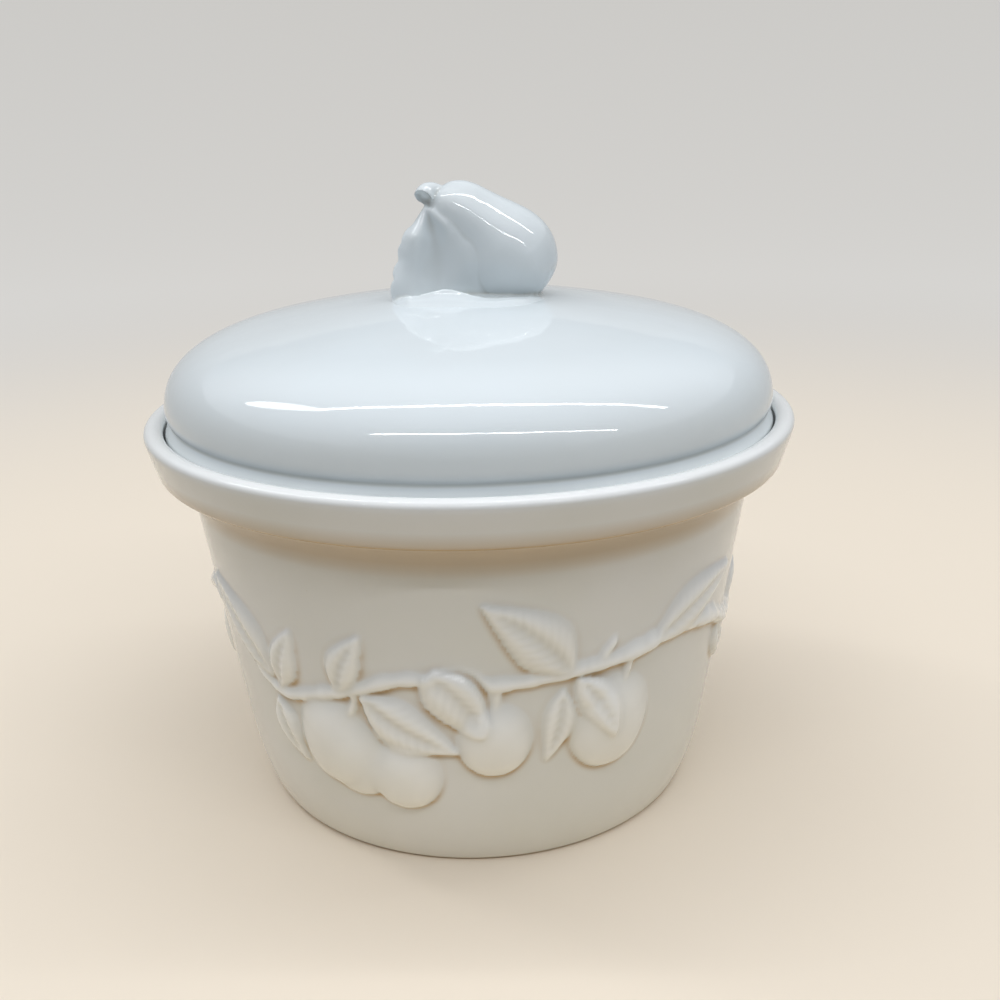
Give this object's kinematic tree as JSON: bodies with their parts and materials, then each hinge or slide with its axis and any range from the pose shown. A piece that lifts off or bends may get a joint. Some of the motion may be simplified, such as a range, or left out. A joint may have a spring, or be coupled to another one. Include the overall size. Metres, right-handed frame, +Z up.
{
  "type": "covered crock",
  "caption": "Round glazed crock with a deep collar, a garland of fruit and leaves in low relief, and a domed lid with a fruit handle that lifts off.",
  "frame": {"origin": "middle of the foot ring's underside, on the table that the crock stands on", "axes": "+Z up along the pot's axis, -Y towards the viewer of the front garland, +X to that viewer's right"},
  "size_m": [0.152, 0.152, 0.1439],
  "materials": {
    "crock_glaze": "clear glossy glaze over warm white earthenware",
    "lid_glaze": "clear glossy glaze, cool white",
    "finial_glaze": "clear glossy glaze, cool white"
  },
  "bodies": {
    "crock": {"crock": "crock_glaze"},
    "lid": {"lid": "lid_glaze", "finial_bed_leaf": "finial_glaze", "finial_fruit": "finial_glaze", "finial_standing_leaf": "finial_glaze", "finial_stem": "finial_glaze"}
  },
  "joints": [
    {"name": "lid_lift", "type": "slide", "parent": "crock", "child": "lid", "axis": [0, 0, 1], "range_m": [0, 0.15]}
  ]
}
